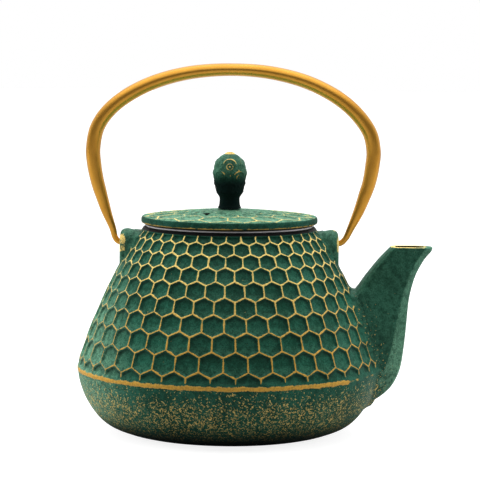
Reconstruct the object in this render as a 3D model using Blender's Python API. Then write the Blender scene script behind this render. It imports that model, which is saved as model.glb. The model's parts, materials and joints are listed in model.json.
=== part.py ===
"""Cast iron teapot with a honeycomb body, a swinging bail handle and a lift-out tea infuser.

Every solid is built in metres, +Z up, +X towards the spout, with the origin at the centre of the
flat base. Dimensions below are in millimetres and are turned into metres by MM.
"""
import math

import bpy
import bmesh
from mathutils import Vector

MM = 0.001
GAP = 0.3                      # clearance between pieces that rest on each other
HOLE_SEGMENTS = 16

# ---- pot ----------------------------------------------------------------------------------
POT_SEGMENTS = 64
ROUND_SEGMENTS = 56            # sides of the lid and the infuser
BASE_RADIUS = 50.0             # flat round underside that the pot stands on
BELT_RADIUS = 79.0             # widest place, the ridge between the belly and the cone
BELT_Z = 33.5
MOUTH_RADIUS = 40.0
COLLAR_TOP_Z = 107.4
COLLAR_RADIUS = 44.2

BELLY = [(56.0, 1.5), (62.6, 4.2), (67.6, 8.0), (71.6, 13.0), (75.1, 19.0), (77.5, 26.0), (78.8, 32.0)]
CONE = [(78.6, 35.5), (77.6, 40.0), (74.1, 50.0), (70.3, 60.0), (65.9, 70.0), (61.3, 80.0),
        (55.9, 90.0), (49.7, 100.0), (45.4, 106.0)]
HOLLOW = [(50.0, 4.5), (58.5, 6.0), (63.5, 9.0), (67.6, 13.0), (71.1, 19.0), (73.5, 26.0), (75.0, 33.5),
          (73.6, 40.0), (70.1, 50.0), (66.3, 60.0), (61.9, 70.0), (57.2, 80.0), (51.6, 90.0),
          (45.0, 99.0), (MOUTH_RADIUS, 103.5)]
HOLLOW_FLOOR_Z = 4.2

# ---- spout --------------------------------------------------------------------------------
# Level sections: height, inner x, half width there, crease x, half width there, nose x.
SPOUT_MOUTH_Z = 97.5
SPOUT_SECTIONS = [
    (13.0, 52.0, 3.0, 62.0, 3.0, 68.0),
    (16.0, 52.0, 6.0, 70.0, 4.5, 75.8),
    (20.5, 52.0, 12.0, 74.0, 8.0, 82.3),
    (26.0, 52.0, 17.0, 77.0, 10.0, 86.9),
    (34.0, 52.0, 20.0, 81.6, 11.3, 90.2),
    (45.0, 52.0, 21.0, 85.2, 10.8, 91.9),
    (56.0, 52.0, 19.5, 87.3, 10.0, 93.0),
    (66.0, 52.0, 16.0, 89.0, 9.2, 93.8),
    (73.5, 64.5, 11.5, 90.7, 8.5, 94.9),
    (82.5, 71.4, 8.6, 94.0, 7.9, 97.5),
    (90.5, 77.7, 7.2, 97.5, 7.4, 101.7),
    (95.0, 81.9, 6.8, 101.0, 7.1, 105.4),
    (SPOUT_MOUTH_Z, 84.3, 6.8, 102.6, 7.1, 106.2),
]
SPOUT_NOSE = 0.45              # width of the nose as a share of the width at the crease
PASSAGE_NOSE = 0.6
PASSAGE_SECTIONS = [
    (33.0, 62.0, 7.0, 76.0, 4.0, 79.0),
    (38.0, 60.0, 9.0, 79.0, 6.0, 84.0),
    (46.0, 58.0, 10.0, 81.6, 6.6, 87.4),
    (56.0, 56.0, 10.0, 83.6, 6.2, 88.8),
    (66.0, 56.0, 9.0, 85.3, 5.6, 89.8),
    (74.0, 69.4, 6.4, 87.2, 5.0, 91.2),
    (82.0, 75.0, 4.6, 90.0, 4.6, 93.8),
    (90.0, 81.0, 4.2, 93.6, 4.3, 97.4),
    (98.5, 86.7, 4.2, 99.0, 4.4, 101.8),
]

# ---- ears that carry the bail ---------------------------------------------------------------
HINGE_Z = 98.9
EAR_FACE_X = 57.0
EAR_TOP_Z = 106.0
EAR_HALF_WIDTH = 9.0
EAR_WAIST_Z = 88.0             # the sides start to draw in below this
EAR_FOOT_Z = 80.0
EAR_HOLE_RADIUS = 1.95
EAR_HOLE_DEPTH = 6.5
EAR_HOLE_SEGMENTS = 20

# ---- lid ----------------------------------------------------------------------------------
LID_RADIUS = 46.0
LID_CROWN_Z = 116.5
LID_DROP = 3.83                # fall of the crown from the centre to the edge
LID_CURVE = 1.457              # exponent of that fall
LID_THICKNESS = 4.2
LID_SEAT_Z = 108.8
SPIGOT_OUTER = 36.6            # ring under the lid that drops into the infuser
SPIGOT_INNER = 34.4
SPIGOT_BOTTOM_Z = 101.8
VENT_RADIUS = 1.8
VENT_PLACE = (21.2, -34.0)     # radius, and degrees from the front towards the spout

# ---- knob and its screw ----------------------------------------------------------------------
KNOB_PROFILE = [(6.3, 0.0), (5.6, 1.2), (5.3, 3.0), (5.4, 5.8), (6.9, 8.0), (7.6, 10.6), (8.4, 14.6),
                (8.85, 18.0), (8.4, 21.0), (7.8, 23.2), (6.6, 25.6), (5.0, 27.8), (2.6, 29.6)]
KNOB_HEIGHT = 29.9
SCREW_RADIUS = 2.0
SCREW_HEAD_RADIUS = 3.7
SCREW_HEAD_HEIGHT = 2.3
SCREW_TOP_Z = 126.0
SCREW_SLOT = (1.0, 1.2)        # width and depth
SCREW_SEGMENTS = 20
KNOB_SEGMENTS = 28
WASHER_RADIUS = 5.0
WASHER_THICKNESS = 0.8
WASHER_SEGMENTS = 24

# ---- infuser --------------------------------------------------------------------------------
RIM_RADIUS = 44.0
RIM_THICKNESS = 0.8
SKIRT_OUTER = 39.5
SHEET = 0.8
SKIRT_DROP = 5.2
WALL_OUTER = 38.4
WALL_TOP_Z = 108.0
CUP_BOTTOM_Z = 45.2
CUP_HEIGHT = 6.6
CUP_LIP_INNER = 35.0
MESH_THICKNESS = 0.7

# ---- bail ---------------------------------------------------------------------------------
BAIL_ROUTE = [(-53.0, HINGE_Z), (-57.4, HINGE_Z), (-59.6, 101.2), (-60.9, 106.0), (-64.0, 114.3),
              (-66.6, 122.6), (-69.0, 131.0), (-70.6, 139.5), (-71.1, 148.0), (-68.9, 158.6),
              (-62.4, 167.9), (-51.9, 176.0), (-37.8, 182.7), (-20.4, 187.2), (-0.9, 188.8),
              (18.9, 187.7), (37.6, 183.4), (53.2, 176.2), (64.4, 167.6), (72.2, 157.3),
              (74.6, 147.6), (74.1, 139.5), (72.6, 131.0), (70.1, 123.4), (67.2, 115.4),
              (63.4, 107.0), (60.8, 101.6), (57.8, HINGE_Z), (53.0, HINGE_Z)]
BAIL_STEPS = 2                 # stations between two route points
PEG_THICKNESS = 3.0
# Size of the section by distance along the bail from the nearer peg: distance, in plane, across.
BAIL_SECTION = [(0.0, PEG_THICKNESS, PEG_THICKNESS), (8.0, PEG_THICKNESS, PEG_THICKNESS),
                (14.0, 3.7, 4.0), (24.0, 5.6, 6.2), (34.0, 6.9, 7.8), (48.0, 7.7, 9.0),
                (62.0, 7.8, 9.6), (90.0, 7.7, 10.2), (150.0, 6.6, 10.4)]
BAIL_SHEET = 1.2               # wall of the rolled steel
BAIL_SEAM = 1.6                # open seam along the inner side
BAIL_HOLLOW_FROM = 28.0        # the roll closes to a solid nib nearer the pegs than this
BAIL_SIDES = 16


def clear_scene():
    for obj in list(bpy.data.objects):
        bpy.data.objects.remove(obj)


def material(name, colour, roughness, metallic):
    mat = bpy.data.materials.new(name)
    mat.use_nodes = True
    shader = mat.node_tree.nodes["Principled BSDF"]
    shader.inputs["Base Color"].default_value = (*colour, 1.0)
    shader.inputs["Roughness"].default_value = roughness
    shader.inputs["Metallic"].default_value = metallic
    return mat


def make_object(name, bm, origin=(0.0, 0.0, 0.0), mat=None):
    """Turns a bmesh in millimetres into an object whose origin is the given point."""
    shift = Vector(origin)
    for vert in bm.verts:
        vert.co = (vert.co - shift) * MM
    bmesh.ops.recalc_face_normals(bm, faces=bm.faces)
    mesh = bpy.data.meshes.new(name)
    bm.to_mesh(mesh)
    bm.free()
    obj = bpy.data.objects.new(name, mesh)
    obj.location = shift * MM
    bpy.context.scene.collection.objects.link(obj)
    mesh.shade_smooth()
    mesh.set_sharp_from_angle(angle=math.radians(35))
    if mat:
        mesh.materials.append(mat)
    return obj


def skin_rings(bm, rings, closed=False):
    """Joins equal rings of points with quads; open ends are capped with a face."""
    rows = [[bm.verts.new(point) for point in ring] for ring in rings]
    pairs = list(zip(rows, rows[1:]))
    if closed:
        pairs.append((rows[-1], rows[0]))
    for low, high in pairs:
        for i in range(len(low)):
            j = (i + 1) % len(low)
            bm.faces.new((low[i], low[j], high[j], high[i]))
    if not closed:
        bm.faces.new(list(reversed(rows[0])))
        bm.faces.new(rows[-1])


def circle(radius, z, segments, centre=(0.0, 0.0)):
    points = []
    for i in range(segments):
        turn = 2 * math.pi * i / segments
        points.append((centre[0] + radius * math.cos(turn), centre[1] + radius * math.sin(turn), z))
    return points


def turned(name, profile, segments, mat=None):
    """A solid of revolution about Z with flat ends, from (radius, z) points going up."""
    bm = bmesh.new()
    skin_rings(bm, [circle(radius, z, segments) for radius, z in profile])
    return make_object(name, bm, mat=mat)


def turned_ring(name, profile, segments, mat=None):
    """A ring about Z, from the closed (radius, z) outline of its section."""
    bm = bmesh.new()
    skin_rings(bm, [circle(radius, z, segments) for radius, z in profile], closed=True)
    return make_object(name, bm, mat=mat)


def combine(target, tool, operation):
    """Applies a Boolean of the tool to the target, then removes the tool."""
    modifier = target.modifiers.new(operation.lower(), "BOOLEAN")
    modifier.operation = operation
    modifier.solver = "EXACT"
    modifier.object = tool
    graph = bpy.context.evaluated_depsgraph_get()
    result = bpy.data.meshes.new_from_object(target.evaluated_get(graph))
    target.modifiers.clear()
    target.data = result
    bpy.data.objects.remove(tool)
    return target


def union(target, tool):
    return combine(target, tool, "UNION")


def cut(target, tool):
    return combine(target, tool, "DIFFERENCE")


# ---- pot ----------------------------------------------------------------------------------
def spout_ring(section, nose_fraction):
    """Outline at one height: a rounded inner end, straight flanks, a crease and a faceted nose."""
    z, inner_x, inner_w, crease_x, crease_w, nose_x = section
    length = crease_x - inner_x
    half = [(inner_x, inner_w * 0.35), (inner_x + length * 0.04, inner_w * 0.75),
            (inner_x + length * 0.12, inner_w), (inner_x + length * 0.55, (inner_w + crease_w) * 0.52),
            (crease_x, crease_w), (crease_x + (nose_x - crease_x) * 0.88, crease_w * nose_fraction),
            (nose_x, crease_w * nose_fraction * 0.4)]
    return [(x, -y, z) for x, y in half] + [(x, y, z) for x, y in reversed(half)]


def spout_loft(name, sections, nose_fraction):
    bm = bmesh.new()
    skin_rings(bm, [spout_ring(section, nose_fraction) for section in sections])
    return make_object(name, bm)


def ear(side):
    """A tombstone-shaped boss that stands out of the shoulder at +X or -X."""
    def outline(x, inset, top_z):
        width = EAR_HALF_WIDTH - inset
        top = top_z - inset
        centre_z = top - width
        arc = [math.pi * i / 12 for i in range(13)]
        points = [(width * math.cos(turn), centre_z + width * math.sin(turn)) for turn in arc]
        points += [(-width * 1.08, EAR_WAIST_Z + inset), (-width * 0.9, EAR_FOOT_Z),
                   (width * 0.9, EAR_FOOT_Z), (width * 1.08, EAR_WAIST_Z + inset)]
        return [(side * x, y, z) for y, z in points]

    bm = bmesh.new()
    skin_rings(bm, [outline(43.0, 0.0, EAR_TOP_Z - 1.4), outline(46.6, 0.0, EAR_TOP_Z - 1.1),
                    outline(53.8, 0.0, EAR_TOP_Z), outline(56.0, 0.9, EAR_TOP_Z - 0.4),
                    outline(EAR_FACE_X, 2.6, EAR_TOP_Z - 1.6)])
    return make_object("ear_blank", bm)


def ear_hole(side):
    bm = bmesh.new()
    points = circle(EAR_HOLE_RADIUS, 0.0, EAR_HOLE_SEGMENTS)
    inner_x = EAR_FACE_X - EAR_HOLE_DEPTH
    skin_rings(bm, [[(side * x, a, HINGE_Z + b) for a, b, _ in points] for x in (inner_x, EAR_FACE_X + 2.0)])
    return make_object("ear_hole", bm)


def pot_body(mat):
    outside = ([(BASE_RADIUS, 0.0)] + BELLY + [(BELT_RADIUS, BELT_Z)] + CONE
               + [(COLLAR_RADIUS + 0.5, 106.9), (COLLAR_RADIUS, COLLAR_TOP_Z)])
    body = turned("pot_body", outside, POT_SEGMENTS, mat)
    union(body, spout_loft("spout_blank", SPOUT_SECTIONS, SPOUT_NOSE))
    for side in (-1, 1):
        union(body, ear(side))
    hollow = ([(BASE_RADIUS * 0.5, HOLLOW_FLOOR_Z)] + HOLLOW + [(MOUTH_RADIUS, COLLAR_TOP_Z + 2.0)])
    cut(body, turned("hollow", hollow, POT_SEGMENTS))
    cut(body, spout_loft("passage", PASSAGE_SECTIONS, PASSAGE_NOSE))
    for side in (-1, 1):
        cut(body, ear_hole(side))
    return body


# ---- lid ----------------------------------------------------------------------------------
def lid_top(radius):
    return LID_CROWN_Z - LID_DROP * (radius / LID_RADIUS) ** LID_CURVE


def lid_plate(mat):
    top = [(radius, lid_top(radius)) for radius in (10.0, 20.0, 28.0, 35.0, 41.0, 44.6)]
    under = [(radius, lid_top(radius) - LID_THICKNESS) for radius in (26.0, 10.0)]
    bore = SCREW_RADIUS + 0.5
    section = ([(bore, LID_CROWN_Z - LID_THICKNESS), (bore, LID_CROWN_Z)] + top
               + [(45.6, 112.1), (LID_RADIUS, 111.0), (45.5, 110.0), (44.2, 109.4), (43.4, LID_SEAT_Z),
                  (SPIGOT_OUTER, LID_SEAT_Z), (SPIGOT_OUTER, SPIGOT_BOTTOM_Z),
                  (SPIGOT_INNER, SPIGOT_BOTTOM_Z), (SPIGOT_INNER, lid_top(SPIGOT_INNER) - LID_THICKNESS)]
               + under)
    lid = turned_ring("lid_plate", section, ROUND_SEGMENTS, mat)
    radius, degrees = VENT_PLACE
    turn = math.radians(degrees)
    centre = (radius * math.sin(turn), -radius * math.cos(turn))
    bm = bmesh.new()
    skin_rings(bm, [circle(VENT_RADIUS, z, HOLE_SEGMENTS, centre) for z in (105.0, 120.0)])
    return cut(lid, make_object("vent", bm))


def lid_knob(mat):
    foot = LID_CROWN_Z + GAP
    profile = [(radius, foot + height) for radius, height in KNOB_PROFILE]
    profile.append((0.8, foot + KNOB_HEIGHT))
    knob = turned("lid_knob", profile, KNOB_SEGMENTS, mat)
    wall = SCREW_RADIUS + GAP
    bore = turned("knob_bore", [(wall, foot - 2.0), (wall, SCREW_TOP_Z + 1.0)], HOLE_SEGMENTS)
    return cut(knob, bore)


def knob_washer(mat):
    top = LID_CROWN_Z - LID_THICKNESS - GAP
    low = top - WASHER_THICKNESS
    inner = SCREW_RADIUS + GAP
    section = [(inner, low), (WASHER_RADIUS, low), (WASHER_RADIUS, top), (inner, top)]
    return turned_ring("knob_washer", section, WASHER_SEGMENTS, mat)


def knob_screw(mat):
    seat = LID_CROWN_Z - LID_THICKNESS - 2 * GAP - WASHER_THICKNESS
    low = seat - SCREW_HEAD_HEIGHT
    screw = turned("knob_screw", [(SCREW_HEAD_RADIUS * 0.55, low), (SCREW_HEAD_RADIUS * 0.88, low + 0.6),
                                  (SCREW_HEAD_RADIUS, low + 1.3), (SCREW_HEAD_RADIUS, seat),
                                  (SCREW_RADIUS, seat), (SCREW_RADIUS, SCREW_TOP_Z - 0.8),
                                  (SCREW_RADIUS * 0.6, SCREW_TOP_Z)], SCREW_SEGMENTS, mat)
    width, depth = SCREW_SLOT
    half = width / 2
    reach = SCREW_HEAD_RADIUS + 1.0
    corners = [(-reach, -half), (reach, -half), (reach, half), (-reach, half)]
    bm = bmesh.new()
    skin_rings(bm, [[(x, y, z) for x, y in corners] for z in (low - 1.0, low + depth)])
    return cut(screw, make_object("slot", bm))


# ---- infuser --------------------------------------------------------------------------------
def infuser_rim(mat):
    low = COLLAR_TOP_Z + GAP
    top = low + RIM_THICKNESS
    inner = SKIRT_OUTER - SHEET
    section = [(inner, low - SKIRT_DROP), (SKIRT_OUTER, low - SKIRT_DROP), (SKIRT_OUTER, low),
               (RIM_RADIUS, low), (RIM_RADIUS, top), (inner, top)]
    return turned_ring("infuser_rim", section, ROUND_SEGMENTS, mat)


def infuser_wall(mat):
    low = CUP_BOTTOM_Z + SHEET + MESH_THICKNESS + 2 * GAP
    inner = WALL_OUTER - MESH_THICKNESS
    section = [(inner, low), (WALL_OUTER, low), (WALL_OUTER, WALL_TOP_Z), (inner, WALL_TOP_Z)]
    return turned_ring("infuser_wall", section, ROUND_SEGMENTS, mat)


def infuser_cup(mat):
    top = CUP_BOTTOM_Z + CUP_HEIGHT
    inner = SKIRT_OUTER - SHEET
    floor = CUP_BOTTOM_Z + SHEET
    section = [(CUP_LIP_INNER, CUP_BOTTOM_Z), (SKIRT_OUTER - 0.6, CUP_BOTTOM_Z),
               (SKIRT_OUTER, CUP_BOTTOM_Z + 0.6), (SKIRT_OUTER, top), (inner, top), (inner, floor),
               (CUP_LIP_INNER, floor)]
    return turned_ring("infuser_cup", section, ROUND_SEGMENTS, mat)


def infuser_floor(mat):
    low = CUP_BOTTOM_Z + SHEET + GAP
    return turned("infuser_floor", [(WALL_OUTER, low), (WALL_OUTER, low + MESH_THICKNESS)], ROUND_SEGMENTS, mat)


# ---- bail ---------------------------------------------------------------------------------
def smooth_route(points, steps):
    """A Catmull-Rom curve through the points, read at equal parameter steps."""
    padded = [points[0]] + points + [points[-1]]
    route = []
    for k in range(1, len(padded) - 2):
        before, start, end, after = (Vector(padded[k + i]) for i in (-1, 0, 1, 2))
        for step in range(steps):
            t = step / steps
            route.append(0.5 * ((2 * start) + (end - before) * t
                                + (2 * before - 5 * start + 4 * end - after) * t * t
                                + (3 * start - before - 3 * end + after) * t ** 3))
    route.append(Vector(points[-1]))
    return route


def section_at(distance):
    """In-plane and crosswise size of the bail at a distance from its nearer peg."""
    for (d0, a0, b0), (d1, a1, b1) in zip(BAIL_SECTION, BAIL_SECTION[1:]):
        if distance <= d1:
            t = (distance - d0) / (d1 - d0)
            return a0 + (a1 - a0) * t, b0 + (b1 - b0) * t
    return BAIL_SECTION[-1][1:]


def bail_stations():
    """Centre, outward normal and distance from the nearer peg, along the bail."""
    route = smooth_route(BAIL_ROUTE, BAIL_STEPS)
    travelled = [0.0]
    for a, b in zip(route, route[1:]):
        travelled.append(travelled[-1] + (b - a).length)
    stations = []
    for i, point in enumerate(route):
        ahead = (route[min(i + 1, len(route) - 1)] - route[max(i - 1, 0)]).normalized()
        outward = Vector((-ahead.y, ahead.x))
        stations.append((point, outward, min(travelled[i], travelled[-1] - travelled[i])))
    return stations


def place_section(point, outward, outline):
    """Puts (outward, across) section points into space; the bail lies in the XZ plane."""
    placed = []
    for out, across in outline:
        spot = point + outward * out
        placed.append((spot.x, across, spot.y))
    return placed


def oval(thick, wide, sides):
    turns = [2 * math.pi * i / sides for i in range(sides)]
    return [(thick / 2 * math.cos(turn), wide / 2 * math.sin(turn)) for turn in turns]


def keyhole(thick, wide):
    """The roll's hollow with its seam, which runs out through the inner side."""
    half_thick = thick / 2 - BAIL_SHEET
    half_wide = wide / 2 - BAIL_SHEET
    start = math.pi - math.asin(BAIL_SEAM / 2 / half_wide)
    turns = [-start + 2 * start * i / 12 for i in range(13)]
    hollow = [(half_thick * math.cos(turn), half_wide * math.sin(turn)) for turn in turns]
    reach = thick / 2 + 1.0
    return hollow + [(-reach, BAIL_SEAM / 2), (-reach, -BAIL_SEAM / 2)]


def bail(mat):
    stations = bail_stations()
    bm = bmesh.new()
    skin_rings(bm, [place_section(point, outward, oval(*section_at(far), BAIL_SIDES))
                    for point, outward, far in stations])
    handle = make_object("bail", bm, origin=(0.0, 0.0, HINGE_Z), mat=mat)
    bm = bmesh.new()
    skin_rings(bm, [place_section(point, outward, keyhole(*section_at(far)))
                    for point, outward, far in stations if far > BAIL_HOLLOW_FROM])
    return cut(handle, make_object("bail_hollow", bm))


def main():
    clear_scene()
    green_iron = material("green_iron", (0.035, 0.13, 0.085), 0.55, 0.2)
    gold_paint = material("gold_paint", (0.72, 0.46, 0.12), 0.3, 0.9)
    steel = material("stainless_steel", (0.6, 0.6, 0.58), 0.3, 1.0)
    pot_body(green_iron)
    lid_plate(green_iron)
    lid_knob(green_iron)
    knob_washer(steel)
    knob_screw(steel)
    infuser_rim(steel)
    infuser_wall(steel)
    infuser_cup(steel)
    infuser_floor(steel)
    bail(gold_paint)


main()
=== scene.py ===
"""The looks of the cast iron teapot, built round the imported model.

Lengths are millimetres until MM turns them into metres. The pot's axis is Z, the spout points to
+X, and turns about the axis are counted from the front (-Y) towards the spout.
"""
import json
import math

import bmesh
import bpy
import numpy as np
from mathutils import Matrix, Vector, noise
from mathutils.bvhtree import BVHTree


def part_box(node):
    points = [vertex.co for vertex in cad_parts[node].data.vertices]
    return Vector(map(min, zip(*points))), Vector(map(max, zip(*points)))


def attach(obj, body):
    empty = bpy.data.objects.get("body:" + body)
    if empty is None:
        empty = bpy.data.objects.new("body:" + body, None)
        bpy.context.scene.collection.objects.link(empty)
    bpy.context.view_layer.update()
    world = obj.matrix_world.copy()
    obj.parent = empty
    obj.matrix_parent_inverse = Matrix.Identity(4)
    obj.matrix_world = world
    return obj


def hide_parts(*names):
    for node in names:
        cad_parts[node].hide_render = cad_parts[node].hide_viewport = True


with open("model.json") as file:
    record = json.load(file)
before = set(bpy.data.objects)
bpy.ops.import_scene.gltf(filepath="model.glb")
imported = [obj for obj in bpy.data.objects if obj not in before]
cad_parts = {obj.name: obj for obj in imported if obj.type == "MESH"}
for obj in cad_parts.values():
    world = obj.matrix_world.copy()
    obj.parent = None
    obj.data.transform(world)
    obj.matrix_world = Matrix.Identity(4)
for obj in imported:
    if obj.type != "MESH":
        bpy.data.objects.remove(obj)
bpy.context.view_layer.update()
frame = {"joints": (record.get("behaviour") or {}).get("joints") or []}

scene = bpy.context.scene
MM = 0.001


def box_mm(node):
    low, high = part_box(node)
    return Vector(low) / MM, Vector(high) / MM


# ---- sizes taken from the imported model
POT_LOW, POT_HIGH = box_mm("pot_body")
LID_LOW, LID_HIGH = box_mm("lid_plate")
KNOB_FOOT = box_mm("lid_knob")[0].z
SCREW_LOW, SCREW_HIGH = box_mm("knob_screw")
WASHER_LOW, WASHER_HIGH = box_mm("knob_washer")
RIM_LOW, RIM_HIGH = box_mm("infuser_rim")
WALL_LOW, WALL_HIGH = box_mm("infuser_wall")
CUP_LOW, CUP_HIGH = box_mm("infuser_cup")
FLOOR_LOW, FLOOR_HIGH = box_mm("infuser_floor")
HINGE_Z = next(j for j in frame["joints"] if j["name"] == "bail_swing")["pos_m"][2] / MM

BELT_RADIUS = -POT_LOW.x
COLLAR_TOP = POT_HIGH.z
LID_RADIUS = LID_HIGH.x

# ---- pot: outlines as (radius, z)
BASE_RADIUS = 50.0
BELT_GOLD_Z = 33.45            # middle of the gold line on the belt
CONE_FOOT_Z = 35.3             # above this height the surface is cone, below it belt and belly
BELLY = [(78.6, 31.9), (78.55, 31.0), (77.6, 26.0), (75.1, 19.0), (71.6, 13.0), (67.6, 8.0),
         (62.6, 4.2), (56.0, 1.5), (51.6, 0.3)]
CONE = [(78.5, 35.2), (77.6, 40.0), (74.1, 50.0), (70.3, 60.0), (65.9, 70.0), (61.3, 80.0),
        (55.9, 90.0), (49.7, 100.0), (45.7, 105.6)]
HOLLOW = [(40.0, 103.5), (41.6, 101.8), (45.0, 99.0), (51.6, 90.0), (57.2, 80.0), (61.9, 70.0),
          (66.3, 60.0), (70.1, 50.0), (73.6, 40.0), (75.0, 33.5), (73.5, 26.0), (71.1, 19.0),
          (67.6, 13.0), (63.5, 9.0), (58.5, 6.0), (50.0, 4.5), (25.0, 4.2)]
SHELL_COLUMNS = 288

# ---- honeycomb on the cone
CONE_CELLS = 39
CONE_PHASE = -1.6              # turn of a cell's centre in an even row, degrees
CONE_ANCHOR_Z = 39.9           # height of the lowest zigzag
CONE_ANCHOR_ROW = 0.5
CONE_SQUEEZE = 0.985           # the rows lie slightly closer than regular hexagons would
CONE_ZIGZAG = 0.145            # half height of a zigzag, in rows
CONE_DEPTH = 1.1

# ---- lid: the dome falls by LID_DROP from LID_CROWN to its edge
LID_CELLS = 16
LID_PHASE = 10.15
LID_ANCHOR_RADIUS = 41.3       # radius of the outermost zigzag
LID_ANCHOR_ROW = 5.5
LID_ZIGZAG = 0.17
LID_DEPTH = 0.75
LID_CROWN = 116.5
LID_DROP = 3.83
LID_CURVE = 1.457
LID_THICKNESS = 4.2
VENT_RADIUS = 1.8
VENT_CHAMFER = 0.3
VENT_PLACE = (21.2, -34.0)     # radius, and degrees from the front towards the spout
SCREW_HOLE_RADIUS = 2.5

RIDGE_HALF = 0.5               # half the width of a ridge's rounded crest
RIDGE_FOOT = 1.55              # how far from its centre line a ridge's flank reaches the floor
ROW_PITCH = math.sqrt(3) / 2   # rows of regular hexagons lie this many cell widths apart

# ---- spout: height, inner x, half width there, crease x, half width there, nose x
SPOUT = [(13.0, 52.0, 3.0, 62.0, 3.0, 68.0), (16.0, 52.0, 6.0, 70.0, 4.5, 75.8),
         (20.5, 52.0, 12.0, 74.0, 8.0, 82.3), (26.0, 52.0, 17.0, 77.0, 10.0, 86.9),
         (34.0, 52.0, 20.0, 81.6, 11.3, 90.2), (45.0, 52.0, 21.0, 85.2, 10.8, 91.9),
         (56.0, 52.0, 19.5, 87.3, 10.0, 93.0), (66.0, 52.0, 16.0, 89.0, 9.2, 93.8),
         (73.5, 64.5, 11.5, 90.7, 8.5, 94.9), (82.5, 71.4, 8.6, 94.0, 7.9, 97.5),
         (90.5, 77.7, 7.2, 97.5, 7.4, 101.7), (95.0, 81.9, 6.8, 101.0, 7.1, 105.4),
         (97.1, 84.0, 6.8, 102.4, 7.1, 106.2)]
SPOUT_LIP = (97.5, 84.5, 6.35, 102.1, 6.65, 105.7)
PASSAGE = [(33.0, 62.0, 7.0, 76.0, 4.0, 79.0), (38.0, 60.0, 9.0, 79.0, 6.0, 84.0),
           (46.0, 58.0, 10.0, 81.6, 6.6, 87.4), (56.0, 56.0, 10.0, 83.6, 6.2, 88.8),
           (66.0, 56.0, 9.0, 85.3, 5.6, 89.8), (74.0, 69.4, 6.4, 87.2, 5.0, 91.2),
           (82.0, 75.0, 4.6, 90.0, 4.6, 93.8), (90.0, 81.0, 4.2, 93.6, 4.3, 97.4),
           (96.9, 86.3, 4.2, 98.4, 4.4, 101.2), (98.0, 85.9, 4.7, 98.8, 5.0, 101.9)]
SPOUT_FILLET = 5.0
SPOUT_FADE = 7.0               # width of the plain band that the honeycomb leaves round the spout

# ---- ears: EAR_SHAPE holds x, how far the sides draw in there, and how far the top drops
NEAREST_FITTING_X = 38.0       # neither the spout nor an ear shapes the cone nearer the axis
EAR_HALF_WIDTH = 9.0
EAR_TOP_Z = 106.0
EAR_FACE_X = 57.0
EAR_WAIST_Z = 88.0
EAR_FOOT = [(0.98, 83.0), (0.9, 79.0)]   # share of the half width, and height
EAR_SHAPE = [(43.0, 0.0, 1.4), (46.6, 0.0, 1.1), (50.0, 0.0, 0.6), (53.0, 0.0, 0.0), (54.4, 0.15, 0.1),
             (55.5, 0.5, 0.25), (56.3, 1.1, 0.6), (56.8, 1.9, 1.2), (EAR_FACE_X, 2.9, 2.0)]
EAR_HOLE_RADIUS = 1.95
EAR_HOLE_DEPTH = 6.5
EAR_FILLET = 5.0
EAR_FADE = 7.0

# ---- knob: radius and height above its foot
KNOB = [(6.2, 0.0), (5.9, 0.7), (5.5, 1.8), (5.3, 3.4), (5.3, 5.5), (6.0, 6.9), (6.85, 8.1),
        (7.25, 10.2), (8.0, 13.6), (8.62, 17.8), (8.4, 20.6), (7.8, 23.0), (6.6, 25.3), (4.8, 27.2),
        (2.8, 28.4)]
KNOB_CAP = [(2.4, 28.72), (1.95, 29.02), (1.45, 29.25), (0.95, 29.38), (0.5, 29.42)]
SCALES_ROUND = 5
SCALE_ROWS = [(22.0, 0.0, 4.4), (16.3, 0.5, 3.3), (10.6, 0.0, 3.3)]   # height, stagger, arch height
KNOB_STEPS = 8
KNOB_COLUMNS = 240

# ---- bail: the route's x and z; distance from the nearer peg, size in plane and size across
BAIL_ROUTE = [(-53.0, HINGE_Z), (-57.4, HINGE_Z), (-59.6, 101.2), (-60.9, 106.0), (-64.0, 114.3),
              (-66.6, 122.6), (-69.0, 131.0), (-70.6, 139.5), (-71.1, 148.0), (-68.9, 158.6),
              (-62.4, 167.9), (-51.9, 176.0), (-37.8, 182.7), (-20.4, 187.2), (-0.9, 188.8),
              (18.9, 187.7), (37.6, 183.4), (53.2, 176.2), (64.4, 167.6), (72.2, 157.3),
              (74.6, 147.6), (74.1, 139.5), (72.6, 131.0), (70.1, 123.4), (67.2, 115.4),
              (63.4, 107.0), (60.8, 101.6), (57.8, HINGE_Z), (53.0, HINGE_Z)]
BAIL_SECTION = [(0.0, 3.0, 3.0), (8.0, 3.0, 3.0), (14.0, 3.7, 4.0), (24.0, 5.6, 6.2), (34.0, 6.9, 7.8),
                (48.0, 7.7, 9.0), (62.0, 7.8, 9.6), (90.0, 7.7, 10.2), (150.0, 6.6, 10.4)]
BAIL_SHEET = 1.2
BAIL_SEAM = 1.6
BAIL_HOLLOW_FROM = 28.0
BAIL_STEPS = 8
BAIL_SIDES = 64
BAIL_LINE = 0.66               # where the pressed line runs, as a share of the half turn from outside

# ---- infuser
SKIRT_INNER = 38.7
CUP_LIP_INNER = 35.0
HOLE_PITCH = 2.8
HOLE_RADIUS = 0.85
SHEET_THICKNESS = 0.7

# ---- camera
CAMERA_PLACE = (5.6, -1250.0, 215.0)
CAMERA_PITCH = 0.0916          # radians below the horizon
CAMERA_ROLL = 0.5              # degrees
CAMERA_LENS = 180.3

# ---- light: brightness of the tent's front and back walls, and what its top adds
TENT_FRONT = 0.15
TENT_BACK = 0.85
TENT_TOP = 1.08
FLOOR_GLOW = 0.85              # the floor shines by itself only where it is seen directly
# Soft boxes: name, place and size in metres, height of the point they face, power in watts.
SOFT_BOXES = [("top", (0.0, 0.3, 1.05), (1.0, 0.7), 0.1, 14.5),
              ("left", (-1.2, 0.15, 0.35), (0.6, 0.7), 0.08, 13.0),
              ("right", (1.2, 0.1, 0.35), (0.6, 0.7), 0.08, 9.0)]


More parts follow.
